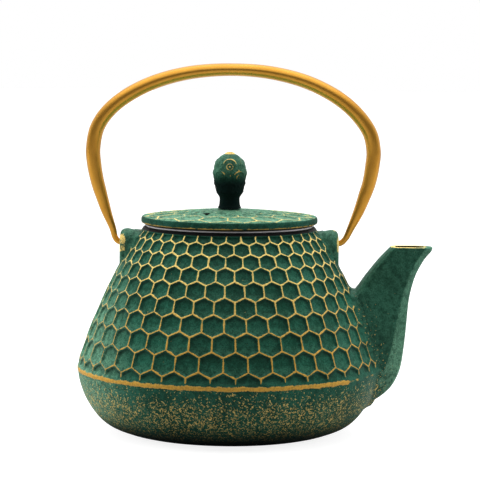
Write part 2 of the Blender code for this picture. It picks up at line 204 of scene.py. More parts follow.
# ---- materials
class Nodes:
    """A short way to write the node tree of a material or of the world."""

    def __init__(self, owner, shader="Principled BSDF", place="Object"):
        owner.use_nodes = True
        self.owner = owner
        self.tree = owner.node_tree
        self.shader = self.tree.nodes[shader]
        self.place = self.add("ShaderNodeTexCoord").outputs[place]

    def add(self, kind, **settings):
        node = self.tree.nodes.new(kind)
        for key, value in settings.items():
            setattr(node, key, value)
        return node

    def put(self, socket, value):
        if hasattr(value, "is_output"):
            self.tree.links.new(value, socket)
        else:
            socket.default_value = value

    def fill(self, node, **sockets):
        """Sets or links a node's sockets, named with _ for a space."""
        for name, value in sockets.items():
            self.put(node.inputs[name.replace("_", " ")], value)
        return node

    def math(self, operation, a, b=0.0):
        node = self.add("ShaderNodeMath", operation=operation)
        self.put(node.inputs[0], a)
        self.put(node.inputs[1], b)
        return node.outputs[0]

    def plus(self, a, b):
        return self.math("ADD", a, b)

    def times(self, a, b):
        return self.math("MULTIPLY", a, b)

    def noise(self, scale, detail=2.0, roughness=0.5, distortion=0.0, place=None):
        node = self.add("ShaderNodeTexNoise")
        self.fill(node, Vector=place or self.place, Scale=scale, Detail=detail, Roughness=roughness,
                  Distortion=distortion)
        return node.outputs["Fac"]

    def attribute(self, name):
        return self.add("ShaderNodeAttribute", attribute_name=name).outputs["Fac"]

    def spread(self, value, low, high, to_low=0.0, to_high=1.0):
        node = self.add("ShaderNodeMapRange", interpolation_type="SMOOTHSTEP")
        self.fill(node, Value=value, From_Min=low, From_Max=high, To_Min=to_low, To_Max=to_high)
        return node.outputs["Result"]

    def mix(self, amount, a, b):
        node = self.add("ShaderNodeMix", data_type="RGBA")
        for index, value in ((0, amount), (6, a), (7, b)):
            self.put(node.inputs[index], value)
        return node.outputs[2]

    def bump(self, height, distance, strength, **normal):
        node = self.add("ShaderNodeBump")
        self.fill(node, Height=height, Distance=distance, Strength=strength, **normal)
        return node.outputs["Normal"]

    def finish(self, **sockets):
        self.fill(self.shader, **sockets)
        return self.owner


def coat(name):
    return Nodes(bpy.data.materials.new(name))


WHITE = (1.0, 1.0, 1.0, 1.0)
GREEN_DARK = (0.002, 0.018, 0.010, 1.0)
GREEN = (0.006, 0.058, 0.033, 1.0)
GREEN_PALE = (0.017, 0.108, 0.067, 1.0)
GREEN_PAINTED_LIT = (0.142, 0.335, 0.210, 1.0)
GOLD_PAINTED_LIT = (0.92, 0.70, 0.22, 1.0)
GOLD_DEEP = (0.62, 0.35, 0.06, 1.0)
GOLD_DUST = (0.68, 0.50, 0.15, 1.0)
GOLD_DULL = (0.16, 0.10, 0.03, 1.0)
BLACK_FOR_SHADE = (0.0004, 0.0058, 0.0058, 1.0)


def green_iron():
    """Brushed green coating over sand-cast iron, rubbed through to gold on whatever stands proud; painted
    light makes parts of the green and the gold paler, and painted shade darkens others.
    """
    n = coat("green_iron")
    grain = n.noise(1500.0, 3.0, 0.6)
    cast = n.noise(420.0)
    tone = n.plus(n.times(cast, 0.55), n.times(n.noise(55.0), 0.45))
    green = n.mix(n.spread(tone, 0.38, 0.62), GREEN, GREEN_PALE)
    # Painted light: lighter mint green where light falls, broken up by the casting noise.
    rubbing_and_painted_light = n.times(n.attribute("mint"), n.spread(cast, 0.3, 0.65, 0.35, 1.0))
    green = n.mix(rubbing_and_painted_light, green, GREEN_PAINTED_LIT)
    green = n.mix(n.spread(grain, 0.35, 0.6, 0.55, 0.0), green, GREEN_DARK)
    # Painted shade: darker green at the top of each cell, under the ridge above.
    green = n.mix(n.attribute("shade"), green, GREEN_DARK)

    # Gold shows with ragged edges where "wear" is high, and as short worms where "speckle" is.
    ragged = n.plus(n.times(n.math("SUBTRACT", grain, 0.5), 0.6),
                    n.times(n.math("SUBTRACT", n.noise(330.0, 3.0), 0.5), 0.9))
    worn = n.spread(n.plus(n.attribute("wear"), ragged), 0.58, 0.72)
    worm = n.math("ABSOLUTE", n.math("SUBTRACT", n.noise(680.0, 1.0, 0.5, 0.8), 0.5))
    break_up = n.plus(n.noise(900.0), n.times(n.attribute("speckle"), 0.36))
    worm = n.times(n.spread(worm, 0.03, 0.055, 1.0, 0.0), n.spread(break_up, 0.755, 0.79))
    gold_mask = n.math("MAXIMUM", worn, worm)
    # Painted light: the gold is paler where more light falls, higher up.
    gold = n.mix(n.attribute("pale"), GOLD_DEEP, GOLD_PAINTED_LIT)
    dulled = n.mix(0.55, gold, GOLD_DULL)
    gold = n.mix(n.spread(n.noise(1100.0, 3.0), 0.40, 0.58, 0.6, 0.0), gold, dulled)
    gold = n.mix(worn, GOLD_DUST, gold)

    # Painted shade: blacker and rougher on the lower belly, the base, the spout's root, the lid's edge and
    # the knob's lower part.
    soot = n.attribute("soot")
    colour = n.mix(n.times(soot, 0.97), n.mix(gold_mask, green, gold), BLACK_FOR_SHADE)
    normal = n.bump(grain, 0.00018, 0.5)
    normal = n.bump(cast, 0.0004, 0.35, Normal=normal)
    normal = n.bump(gold_mask, 0.00006, 0.6, Normal=normal)
    rough = n.plus(n.spread(grain, 0.3, 0.7, 0.62, 0.46), n.times(soot, 0.3))
    return n.finish(Base_Color=colour, Roughness=rough, Normal=normal,
                    Metallic=n.times(gold_mask, 0.35), Specular_IOR_Level=0.14)


def black_enamel():
    """The matt black inside and underside, slightly rippled."""
    n = coat("black_enamel")
    ripple = n.noise(180.0)
    colour = n.mix(n.spread(n.noise(60.0), 0.3, 0.7),
                   (0.002, 0.002, 0.002, 1.0), (0.007, 0.007, 0.0075, 1.0))
    return n.finish(Base_Color=colour, Roughness=n.spread(ripple, 0.3, 0.7, 0.46, 0.58),
                    Normal=n.bump(ripple, 0.0002, 0.2), Specular_IOR_Level=0.08)


def gold_paint():
    """Metallic gold lacquer: fine flake, a little orange peel and slightly duller patches."""
    n = coat("gold_paint")
    flake = n.noise(5200.0, 1.0)
    peel = n.noise(620.0)
    patches = n.noise(70.0, 3.0)
    colour = n.mix(n.spread(patches, 0.3, 0.7),
                   (0.74, 0.355, 0.042, 1.0), (0.67, 0.305, 0.033, 1.0))
    colour = n.mix(n.spread(flake, 0.45, 0.75, 0.0, 0.30), colour, (0.90, 0.60, 0.14, 1.0))
    return n.finish(Base_Color=colour, Metallic=0.84, Roughness=n.spread(patches, 0.3, 0.7, 0.27, 0.33),
                    Normal=n.bump(peel, 0.0002, 0.25, Normal=n.bump(flake, 0.00004, 0.5)))


def stainless():
    """Rolled stainless sheet with fine drawing lines round the axis."""
    n = coat("stainless")
    stretch = n.fill(n.add("ShaderNodeMapping"), Vector=n.place, Scale=(120.0, 120.0, 9000.0))
    lines = n.noise(1.0, place=stretch.outputs["Vector"])
    smudge = n.noise(90.0)
    colour = n.mix(n.spread(smudge, 0.3, 0.7), (0.90, 0.88, 0.89, 1.0), (0.82, 0.80, 0.81, 1.0))
    rough = n.plus(n.spread(lines, 0.3, 0.7, 0.40, 0.50), n.times(smudge, 0.08))
    return n.finish(Base_Color=colour, Metallic=0.4, Roughness=rough,
                    Normal=n.bump(lines, 0.00005, 0.25))


CAST = [green_iron(), black_enamel()]   # a casting's two materials, in the order of its slots
COATED, ENAMELLED = 0, 1
GOLD = gold_paint()
STEEL = stainless()


# ---- mesh tools
def ease(x):
    """0 up to x = 0, 1 from x = 1 on, with a soft start and end between."""
    x = np.clip(x, 0.0, 1.0)
    return x * x * (3.0 - 2.0 * x)


def catmull_rom(points, steps):
    """A smooth curve through rows of numbers, with the given number of steps between two rows."""
    rows = [np.array(p, dtype=float) for p in points]
    rows = [2 * rows[0] - rows[1]] + rows + [2 * rows[-1] - rows[-2]]
    curve = []
    for before, start, end, after in zip(rows, rows[1:], rows[2:], rows[3:]):
        for step in range(steps):
            t = step / steps
            curve.append(0.5 * (2 * start + (end - before) * t
                                + (2 * before - 5 * start + 4 * end - after) * t * t
                                + (3 * start - before - 3 * end + after) * t ** 3))
    curve.append(rows[-2])
    return np.array(curve)


def turn_point(radius, z, turn):
    return Vector((radius * math.sin(turn), -radius * math.cos(turn), z))


def ring_of(bm, radius, z, columns):
    return [bm.verts.new(turn_point(radius, z, 2 * math.pi * i / columns)) for i in range(columns)]


def bridge(bm, low, high, slot=0):
    """Quads between two equal closed loops."""
    for i in range(len(low)):
        j = (i + 1) % len(low)
        bm.faces.new((low[i], low[j], high[j], high[i])).material_index = slot


def skin_loops(bm, loops, slot=0, caps=False):
    """Quads between each loop and the next, and flat ends when asked."""
    for low, high in zip(loops, loops[1:]):
        bridge(bm, low, high, slot)
    if caps:
        for loop in (loops[0], loops[-1]):
            bm.faces.new(loop).material_index = slot


def bearing(vert):
    """A point's turn about the axis, from 0 to a full turn."""
    return math.atan2(vert.co.x, -vert.co.y) % (2 * math.pi)


def stitch(bm, low, high, slot=0):
    """Triangles between two closed loops about Z with different numbers of points."""
    def turns(loop):
        turn = [bearing(vert) for vert in loop]
        first = int(np.argmin(turn))
        return loop[first:] + loop[:first], turn[first:] + turn[:first]

    (low, low_turn), (high, high_turn) = turns(low), turns(high)
    low_turn.append(low_turn[0] + 2 * math.pi)
    high_turn.append(high_turn[0] + 2 * math.pi)
    i = j = 0
    while i < len(low) or j < len(high):
        a, b = low[i % len(low)], high[j % len(high)]
        if j == len(high) or (i < len(low) and low_turn[i + 1] <= high_turn[j + 1]):
            bm.faces.new((a, low[(i + 1) % len(low)], b)).material_index = slot
            i += 1
        else:
            bm.faces.new((a, high[(j + 1) % len(high)], b)).material_index = slot
            j += 1


def grow(bm, loop, profile, slots):
    """Carries a loop on through (radius, z) points; slots gives each step's material."""
    for (radius, z), slot in zip(profile, slots):
        ring = ring_of(bm, radius, z, SHELL_COLUMNS)
        if len(loop) == SHELL_COLUMNS:
            bridge(bm, loop, ring, slot)
        else:
            stitch(bm, loop, ring, slot)
        loop = ring
    return loop


def close_loop(bm, loop, z, slot=0):
    """Fills a loop about Z with a fan."""
    centre = bm.verts.new((0.0, 0.0, z))
    for i in range(len(loop)):
        bm.faces.new((loop[i], loop[(i + 1) % len(loop)], centre)).material_index = slot


def make_piece(name, bm, materials, sharp=40.0):
    """Turns a bmesh in millimetres into a finished mesh object in metres."""
    bmesh.ops.recalc_face_normals(bm, faces=bm.faces)
    bmesh.ops.scale(bm, vec=(MM, MM, MM), verts=bm.verts)
    mesh = bpy.data.meshes.new(name)
    bm.to_mesh(mesh)
    bm.free()
    for material in materials:
        mesh.materials.append(material)
    piece = bpy.data.objects.new(name, mesh)
    scene.collection.objects.link(piece)
    shade(piece, sharp)
    return piece


def shade(piece, sharp):
    piece.data.shade_smooth()
    piece.data.set_sharp_from_angle(angle=math.radians(sharp))


def combine(target, tool, operation):
    modifier = target.modifiers.new("join", "BOOLEAN")
    modifier.operation = operation
    modifier.solver = "EXACT"
    modifier.object = tool
    graph = bpy.context.evaluated_depsgraph_get()
    target.data = bpy.data.meshes.new_from_object(target.evaluated_get(graph))
    target.modifiers.clear()
    bpy.data.objects.remove(tool)
    return target


def lathe(name, profile, columns, materials, slots=None, closed=False, sharp=40.0):
    """A turned piece from (radius, z) points, with a ring section when closed."""
    bm = bmesh.new()
    slots = slots or [0] * len(profile)
    loops = [ring_of(bm, radius, z, columns) for radius, z in profile]
    for low, high, slot in zip(loops, loops[1:], slots):
        bridge(bm, low, high, slot)
    if closed:
        bridge(bm, loops[-1], loops[0], slots[-1])
    else:
        close_loop(bm, loops[0], profile[0][1], slots[0])
        close_loop(bm, loops[-1], profile[-1][1], slots[-1])
    return make_piece(name, bm, materials, sharp)


def enamelled_rod(low, high, radius, sides):
    """A plain rod between two points, used as a cutter."""
    bm = bmesh.new()
    axis = (high - low).normalized()
    side = axis.orthogonal().normalized()
    other = axis.cross(side)
    loops = []
    for centre in (low, high):
        loops.append([bm.verts.new(centre + (side * math.cos(t) + other * math.sin(t)) * radius)
                      for t in (2 * math.pi * i / sides for i in range(sides))])
    skin_loops(bm, loops, ENAMELLED, caps=True)
    return make_piece("rod", bm, CAST)


def wobble(x, y, z, size, seed):
    """Smooth noise in -1..1 whose lumps are about size millimetres."""
    return noise.noise(Vector((x / size + seed, y / size, z / size)))


# ---- honeycomb
def cell_gauge(across, along, zigzag):
    """0 at a cell's centre and 1 on its edge, from the offset in cell widths and in rows."""
    across, along = np.abs(across), np.abs(along)
    return np.maximum(across / 0.5, (along + 4 * zigzag * across) / (0.5 + zigzag))


def nearest_gauge(u, v, zigzag):
    """The gauge of the cell that holds each (u, v)."""
    best = np.full(np.shape(u), np.inf)
    for step in (-1, 0, 1, 2):
        row = np.floor(v) + step
        across = np.mod(u - 0.5 * np.mod(row, 2) + 0.5, 1.0) - 0.5
        best = np.minimum(best, cell_gauge(across, v - row, zigzag))
    return best


def cell_outline(zigzag, side_points):
    corners = [(0.0, 0.5 + zigzag), (0.5, 0.5 - zigzag), (0.5, zigzag - 0.5), (0.0, -0.5 - zigzag),
               (-0.5, zigzag - 0.5), (-0.5, 0.5 - zigzag)]
    outline = []
    for (x0, y0), (x1, y1) in zip(corners, corners[1:] + corners[:1]):
        for k in range(side_points):
            t = k / side_points
            outline.append((x0 + (x1 - x0) * t, y0 + (y1 - y0) * t))
    return outline


def ridge_scale(width):
    """Ridges keep their width until the cells get too small for them."""
    return np.minimum(1.0, width / (3.2 * RIDGE_FOOT))


def honeycomb(columns, zigzag, side_points, v_low, v_high, cell_width):
    """Flat cells in (u, v), each a nest of rings, trimmed to v_low..v_high.

    cell_width gives a row's cell width in millimetres, so that the rings keep their true distance
    from the ridges. Returns the bmesh, with u and v as the points' x and y.
    """
    bm = bmesh.new()
    outline = cell_outline(zigzag, side_points)
    for row in range(math.floor(v_low), math.ceil(v_high) + 1):
        width = cell_width(row)
        insets = [0.0, 0.25, RIDGE_HALF, 0.75, 1.0, 1.25, RIDGE_FOOT]
        shares = [1 - 2 * inset * ridge_scale(width) / width for inset in insets]
        shares += [shares[-1] * k for k in (0.8, 0.56, 0.3)]
        for column in range(columns):
            cu = column + 0.5 * (row % 2)
            loops = [[bm.verts.new((cu + x * f, row + y * f, 0.0)) for x, y in outline] for f in shares]
            skin_loops(bm, loops)
            centre = bm.verts.new((cu, row, 0.0))
            last = loops[-1]
            for i in range(len(last)):
                bm.faces.new((last[i], last[(i + 1) % len(last)], centre))
    for limit, side in ((v_low, -1), (v_high, 1)):
        geometry = bm.verts[:] + bm.edges[:] + bm.faces[:]
        bmesh.ops.bisect_plane(bm, geom=geometry, plane_co=(0, limit, 0), plane_no=(0, side, 0),
                               clear_outer=True, dist=1e-6)
    return bm


def ridge_height(gauge, width):
    """Height over the crest for a relief 1 deep: rounded crest, flank, slightly dished floor."""
    inset = (1.0 - gauge) * width / 2 / ridge_scale(width)
    crest = -0.12 * np.clip(inset / RIDGE_HALF, 0.0, 1.0) ** 2
    flank = ease((inset - RIDGE_HALF * 0.8) / (RIDGE_FOOT - RIDGE_HALF * 0.8))
    dish = 0.15 * ease((0.6 - gauge) / 0.6)
    return crest - 0.88 * flank - dish


class Skin:
    """A turned surface with its crest line and the honeycomb's row count along it."""

    def __init__(self, profile, columns, phase, anchor, anchor_row, squeeze=1.0):
        self.r, self.z = profile[:, 0], profile[:, 1]
        step = np.hypot(np.diff(self.r), np.diff(self.z))
        pitch = squeeze * ROW_PITCH * np.pi * (self.r[1:] + self.r[:-1]) / columns
        self.v = np.concatenate([[0.0], np.cumsum(step / pitch)])
        self.key = anchor[0]
        self.v += anchor_row - self.row_at(anchor[1])
        self.nr = np.gradient(self.z)
        self.nz = -np.gradient(self.r)
        length = np.hypot(self.nr, self.nz)
        self.nr, self.nz = self.nr / length, self.nz / length
        self.columns, self.phase = columns, math.radians(phase)

    def row_at(self, value):
        """The row count at a height (key z) or at a radius (key r)."""
        key = self.z if self.key == "z" else self.r
        order = np.argsort(key)
        return np.interp(value, key[order], self.v[order])

    def at(self, v):
        return tuple(np.interp(v, self.v, key) for key in (self.r, self.z, self.nr, self.nz))

    def place(self, u, v, height):
        r, z, nr, nz = self.at(v)
        turn = u * 2 * np.pi / self.columns + self.phase
        r = r + nr * height
        return np.stack([r * np.sin(turn), -r * np.cos(turn), z + nz * height], axis=1)

    def cell_width(self, v):
        return 2 * np.pi * self.at(v)[0] / self.columns

    def flat(self, points):
        """(u, v) of points in space."""
        turn = np.arctan2(points[:, 0], -points[:, 1]) - self.phase
        value = points[:, 2] if self.key == "z" else np.hypot(points[:, 0], points[:, 1])
        return turn * self.columns / (2 * np.pi), self.row_at(value)


def wrap_honeycomb(bm, skin, zigzag, depth_at):
    """Bends flat honeycomb onto a turned skin. depth_at gives each point's depth and lift."""
    u, v = np.array([vert.co[:2] for vert in bm.verts]).T
    gauge = nearest_gauge(u, v, zigzag)
    crest = skin.place(u, v, 0.0)
    sway = np.array([(wobble(*p, 5.0, 3.1), wobble(*p, 5.0, 41.7), wobble(*p, 2.2, 7.9)) for p in crest])
    width = skin.cell_width(v)
    inside = ease(np.minimum(v - v.min(), v.max() - v) / 0.15)
    u = u + sway[:, 0] * 0.16 / width * inside
    v = v + sway[:, 1] * 0.16 / width * inside
    depth, lift = depth_at(crest)
    height = ridge_height(gauge, width) * depth - np.abs(sway[:, 2]) * 0.10 + lift
    for vert, place in zip(bm.verts, skin.place(u, v, height)):
        vert.co = place
    bmesh.ops.remove_doubles(bm, verts=bm.verts, dist=0.002)


def open_loops(bm, key):
    """The two open rims of a wrapped honeycomb, each sorted round the axis, lower key first."""
    rim = {v for e in bm.edges if e.is_boundary for v in e.verts}
    level = {v: key(v.co) for v in rim}
    middle = (min(level.values()) + max(level.values())) / 2
    loops = []
    for keep in (lambda x: x < middle, lambda x: x >= middle):
        loops.append(sorted((vert for vert in rim if keep(level[vert])), key=bearing))
    return loops


# ---- pot
def spout_outline(section, nose):
    """Half outline of a level section from the inner end to the nose, then mirrored."""
    z, inner_x, inner_w, crease_x, crease_w, nose_x = section
    length = crease_x - inner_x
    half = [(inner_x, inner_w * 0.35), (inner_x + length * 0.04, inner_w * 0.75),
            (inner_x + length * 0.12, inner_w), (inner_x + length * 0.55, (inner_w + crease_w) * 0.52),
            (crease_x, crease_w), (crease_x + (nose_x - crease_x) * 0.88, crease_w * nose),
            (nose_x, crease_w * nose * 0.4)]
    return [(x, -y) for x, y in half] + [(x, y) for x, y in reversed(half)]


def round_corners(outline, radius, arc=4, straight=3):
    """Rounds each corner of a closed outline with a short curve."""
    points = []
    count = len(outline)
    corners = [Vector(p) for p in outline]
    for i, corner in enumerate(corners):
        before = corners[i - 1] - corner
        after = corners[(i + 1) % count] - corner
        start = corner + before.normalized() * min(radius, before.length * 0.42)
        end = corner + after.normalized() * min(radius, after.length * 0.42)
        for k in range(arc + 1):
            t = k / arc
            points.append(start * (1 - t) ** 2 + corner * 2 * t * (1 - t) + end * t * t)
        reach = corners[(i + 1) % count] - after.normalized() * min(radius, after.length * 0.42)
        for k in range(1, straight):
            points.append(end.lerp(reach, k / straight))
    return points


def loft_spout(sections, nose, radius, slot, lip=()):
    """A closed solid through level sections, smooth from one to the next."""
    bm = bmesh.new()
    rows = list(catmull_rom(sections, 5)) + [np.array(row) for row in lip]
    loops = []
    for row in rows:
        points = round_corners(spout_outline(row, nose), radius)
        loops.append([bm.verts.new((p.x, p.y, row[0])) for p in points])
    skin_loops(bm, loops, slot, caps=True)
    return bm


def ear(side):
    """The tombstone-shaped boss that takes one end of the bail."""
    bm = bmesh.new()
    loops = []
    for x, inset, drop in EAR_SHAPE:
        width = EAR_HALF_WIDTH - inset
        top = EAR_TOP_Z - drop - inset * 0.6
        centre_z = top - width
        arch = [(width * math.cos(t), centre_z + width * math.sin(t))
                for t in (math.pi * i / 36 for i in range(37))]
        flank = [(width * (1 + 0.08 * k / 5), centre_z + (EAR_WAIST_Z - centre_z) * k / 5)
                 for k in range(1, 6)]
        flank += [(width * share, z) for share, z in EAR_FOOT]
        points = arch + [(-y, z) for y, z in flank] + flank[::-1]
        loops.append([bm.verts.new((side * x, y, z)) for y, z in points])
    skin_loops(bm, loops, caps=True)
    return bm


def distance_to(trees, points, reach):
    """Distance from each point to the nearest of the solids, up to reach."""
    result = np.full(len(points), reach)
    for tree in trees:
        for i, point in enumerate(points):
            if abs(point[0]) > NEAREST_FITTING_X:
                found = tree.find_nearest(Vector(point), reach)
                if found[0] is not None:
                    result[i] = min(result[i], found[3])
    return result


def fillet(distance, radius):
    """Height of a round fillet's surface at a distance from the wall it meets."""
    share = 1 - np.clip(distance / radius, 0.0, 1.0)
    return radius * (1 - np.sqrt(np.maximum(1 - share ** 2, 0.0)))


CONE_SKIN = Skin(catmull_rom(CONE, 12), CONE_CELLS, CONE_PHASE, ("z", CONE_ANCHOR_Z), CONE_ANCHOR_ROW,
                 CONE_SQUEEZE)


def swell_to(spout_tree, verts):
    """Raises the belly into a fillet under the spout."""
    for vert in verts:
        if vert.co.x > 45.0 and vert.co.z > 8.0:
            found = spout_tree.find_nearest(vert.co, SPOUT_FILLET)
            if found[0] is not None:
                out = Vector((vert.co.x, vert.co.y, (vert.co.z - 34.0) * 1.2)).normalized()
                vert.co += out * float(fillet(found[3], SPOUT_FILLET)) * 0.8


def pot_shell(spout_tree, ear_trees):
    """Honeycomb cone, belt, belly, foot, collar and the enamelled inside, as one closed mesh."""
    skin = CONE_SKIN

    def depth_at(points):
        to_spout = distance_to([spout_tree], points, SPOUT_FADE + 2.0)
        to_ears = distance_to(ear_trees, points, EAR_FADE + 2.0)
        depth = CONE_DEPTH * ease(to_spout / SPOUT_FADE) * ease(to_ears / EAR_FADE)
        depth *= ease((points[:, 2] - 35.4) / 1.6)
        reach = np.clip(0.6 * (EAR_FACE_X - np.hypot(points[:, 0], points[:, 1])), 0.01, EAR_FILLET)
        lift = np.maximum(fillet(to_spout, SPOUT_FILLET), fillet(to_ears, reach)) * 0.8
        return depth, lift * ease((105.4 - points[:, 2]) / 2.5)

    bm = honeycomb(CONE_CELLS, CONE_ZIGZAG, 4, skin.v[0], skin.v[-1], skin.cell_width)
    wrap_honeycomb(bm, skin, CONE_ZIGZAG, depth_at)
    bottom, top = open_loops(bm, lambda co: co.z)

    belt = [(78.5, 35.0), (78.75, 34.7), (BELT_RADIUS - 0.05, 34.1), (BELT_RADIUS, 33.5),
            (BELT_RADIUS - 0.03, 32.9), (78.85, 32.3)]
    belly = [tuple(p) for p in catmull_rom(BELLY, 4)]
    foot = [(BASE_RADIUS, 0.0), (45.0, 0.0), (44.2, 0.5), (20.0, 0.6)]
    outside = belt + belly + foot
    shaped = set(bm.verts)
    loop = grow(bm, bottom, outside, [COATED] * len(outside))
    close_loop(bm, loop, foot[-1][1])
    swell_to(spout_tree, set(bm.verts) - shaped)

    collar = [(45.65, 105.75), (45.48, 106.02), (45.3, 106.3), (44.9, 106.9), (44.3, COLLAR_TOP - 0.05),
              (43.9, COLLAR_TOP), (40.5, COLLAR_TOP), (40.1, COLLAR_TOP - 0.15), (40.0, COLLAR_TOP - 0.6)]
    inside = collar + [tuple(p) for p in catmull_rom(HOLLOW, 3)]
    loop = grow(bm, top, inside, [COATED] * 2 + [ENAMELLED] * (len(inside) - 2))
    close_loop(bm, loop, HOLLOW[-1][1], ENAMELLED)
    return make_piece("pot_casting", bm, CAST)


def points_of(piece):
    """The points of a finished piece, in millimetres."""
    mesh = piece.data
    points = np.empty(len(mesh.vertices) * 3)
    mesh.vertices.foreach_get("co", points)
    return points.reshape(-1, 3) / MM


def store(mesh, **layers):
    """Writes the coat's masks; a layer that isn't given is 0 all over."""
    for name in ("wear", "speckle", "soot", "pale", "mint", "shade"):
        layer = mesh.attributes.new(name, "FLOAT", "POINT")
        values = np.broadcast_to(layers.get(name, 0.0), len(mesh.vertices))
        layer.data.foreach_set("value", values.astype(np.float32))


def pot_masks(piece):
    """Writes how much gold and speckle each point shows, and how much painted light and painted shade,
    from where it lies on the casting.
    """
    points = points_of(piece)
    x, y, z = points.T
    radius = np.hypot(x, y)

    u, v = CONE_SKIN.flat(points)
    crest_r = CONE_SKIN.at(v)[0]
    gauge = nearest_gauge(u, v, CONE_ZIGZAG)
    inset = (1.0 - gauge) * CONE_SKIN.cell_width(v) / 2
    on_cone = (radius > crest_r - 2.2) & (radius < crest_r + 0.25) & (z > CONE_FOOT_Z) & (z < 106.6)
    wear = np.where(on_cone, np.maximum(1.0 - inset, 0.0) * ease((z - 35.0) / 1.6), 0.0)
    wear -= on_cone * (0.15 * ease((-x - 30.0) / 28.0) + 0.07 * ease((x - 40.0) / 20.0))
    # Painted shade: the upper part of each cell is darker, as if under the ridge above it.
    above_middle = v - np.round(v)   # height within the cell, in rows
    in_cell = on_cone * ease((inset - 0.6) / 0.6)
    shade = in_cell * ease((gauge - 0.35) / 0.5) * ease((above_middle + 0.02) / 0.35) * 0.75

    # The belt's gold ends in specks before the spout.
    on_belt = (radius > BELT_RADIUS - 1.2) & (z > 31.2) & (z <= CONE_FOOT_Z)
    along = ease((62.0 - x) / 3.0) + 0.5 * (x >= 60.0)
    wear = np.where(on_belt, (1.12 - np.abs(z - BELT_GOLD_Z) * 0.45) * np.minimum(along, 1.0), wear)

    crease = np.interp(z, [row[0] for row in SPOUT], [row[3] for row in SPOUT])
    on_spout = (x > radius * 0.9) & (radius > crest_r + 0.4) & (x > 60) & (z > 36.0)
    on_spout |= (x > 76) & (np.abs(y) < 18) & (radius > BELT_RADIUS + 0.3)
    lip = on_spout & (z > 97.3) & (x < 102.4)
    wear = np.where(on_spout, 0.0, wear)
    wear = np.where(lip, 0.95, wear)
    root = on_spout * ease((14.0 - (x - crest_r)) / 14.0) * ease((78.0 - z) / 8.0)
    wear = np.where(on_spout & (np.abs(x - crease) < 0.8) & (z > 84), 0.30, wear)

    on_ear = (np.abs(x) > 46) & (np.abs(x) < 58) & (np.abs(y) < 10.5) & (z > 86) & (radius > crest_r + 0.5)
    start = np.where(x < 0, 52.8, 54.6)
    rubbing_and_painted_light = ease((np.abs(x) - start) / 1.8) * ease((7.0 - np.abs(z - HINGE_Z)) / 4.0)
    corner = 0.55 * ease((z - 103.0) / 2.0) * ease((np.abs(x) - 52.0) / 2.0)
    wear = np.where(on_ear, np.maximum(rubbing_and_painted_light * 0.74, corner), wear)
    # Painted light: lighter green on the ears, on the lower part of each cell, towards the left side, and
    # on the spout, most on its side past the crease and low down.
    mint = np.where(on_ear, 0.30, 0.12 * in_cell * ease((-0.05 - above_middle) / 0.3))
    mint += np.where(on_cone | (z < CONE_FOOT_Z), 0.78 * ease((-x - 44.0) / 27.0), 0.0)
    mint = np.where(on_spout, 0.16, mint)
    mint = np.where(on_spout & (x > crease - 0.5), 0.44 + 0.50 * ease((60.0 - z) / 30.0), mint)

    belly = (z < 32.2) & (radius > 40)
    speckle = np.where(belly, ease((32.0 - z) / 12.0) * 0.35 + 0.42, 0.0)
    speckle = np.where(belly & (x > 60.0), np.minimum(speckle, 0.62), speckle)
    speckle = np.where(on_spout, 0.38 * root, speckle)
    # Painted shade: blacker towards the base under the belly, black on the base itself, and a little at
    # the spout's root.
    soot = np.where(belly, ease((15.0 - z) / 13.0), 0.0)
    soot = np.where(z < 0.7, 1.0, soot)
    soot = np.maximum(soot, 0.25 * root)
    # Painted light: the gold is paler higher up.
    pale = ease((z - 45.0) / 55.0)
    store(piece.data, wear=wear, speckle=speckle, soot=soot, pale=pale, mint=mint, shade=shade)


def pot():
    spout = loft_spout(SPOUT, 0.45, 0.8, COATED, lip=[SPOUT_LIP])
    ears = [ear(side) for side in (-1, 1)]
    spout_tree = BVHTree.FromBMesh(spout)
    ear_trees = [BVHTree.FromBMesh(bm) for bm in ears]
    casting = pot_shell(spout_tree, ear_trees)
    combine(casting, make_piece("spout", spout, CAST), "UNION")
    for bm in ears:
        combine(casting, make_piece("ear", bm, CAST), "UNION")
    chamber = [(38.0, 99.2)] + [tuple(p) for p in catmull_rom(HOLLOW[2:], 3)]
    cutter = lathe("chamber", chamber, SHELL_COLUMNS, CAST, [ENAMELLED] * len(chamber))
    combine(casting, cutter, "DIFFERENCE")
    passage = loft_spout(PASSAGE, 0.6, 1.2, ENAMELLED)
    combine(casting, make_piece("passage", passage, CAST), "DIFFERENCE")
    for side in (-1, 1):
        inner = Vector((side * (EAR_FACE_X - EAR_HOLE_DEPTH), 0.0, HINGE_Z))
        outer = Vector((side * (EAR_FACE_X + 3.0), 0.0, HINGE_Z))
        combine(casting, enamelled_rod(inner, outer, EAR_HOLE_RADIUS, 32), "DIFFERENCE")
    shade(casting, 40.0)
    pot_masks(casting)
    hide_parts("pot_body")
    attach(casting, "pot")


# ---- lid, knob and its fixing
def lid_top(radius):
    return LID_CROWN - LID_DROP * (radius / LID_RADIUS) ** LID_CURVE


LID_SKIN = Skin(np.array([(r, lid_top(r)) for r in np.linspace(45.0, 5.5, 90)]), LID_CELLS, LID_PHASE,
                ("r", LID_ANCHOR_RADIUS), LID_ANCHOR_ROW)
LID_EDGE = [(45.35, 112.62), (45.7, 112.25), (45.92, 111.7), (LID_RADIUS, 110.9), (45.97, 110.2),
            (45.85, 109.65), (45.55, 109.3)]
RING_FOOT_Z = LID_LOW.z        # the locating ring under the lid is its lowest part
LID_UNDERSIDE = [(45.1, 109.15), (44.4, 109.0), (43.7, 108.85), (43.4, RING_FOOT_Z + 7.0),
                 (36.9, RING_FOOT_Z + 7.0), (36.6, RING_FOOT_Z + 6.7), (36.6, RING_FOOT_Z + 0.3),
                 (36.3, RING_FOOT_Z), (34.7, RING_FOOT_Z), (34.4, RING_FOOT_Z + 0.3), (34.4, 109.4),
                 (34.0, 109.8)]


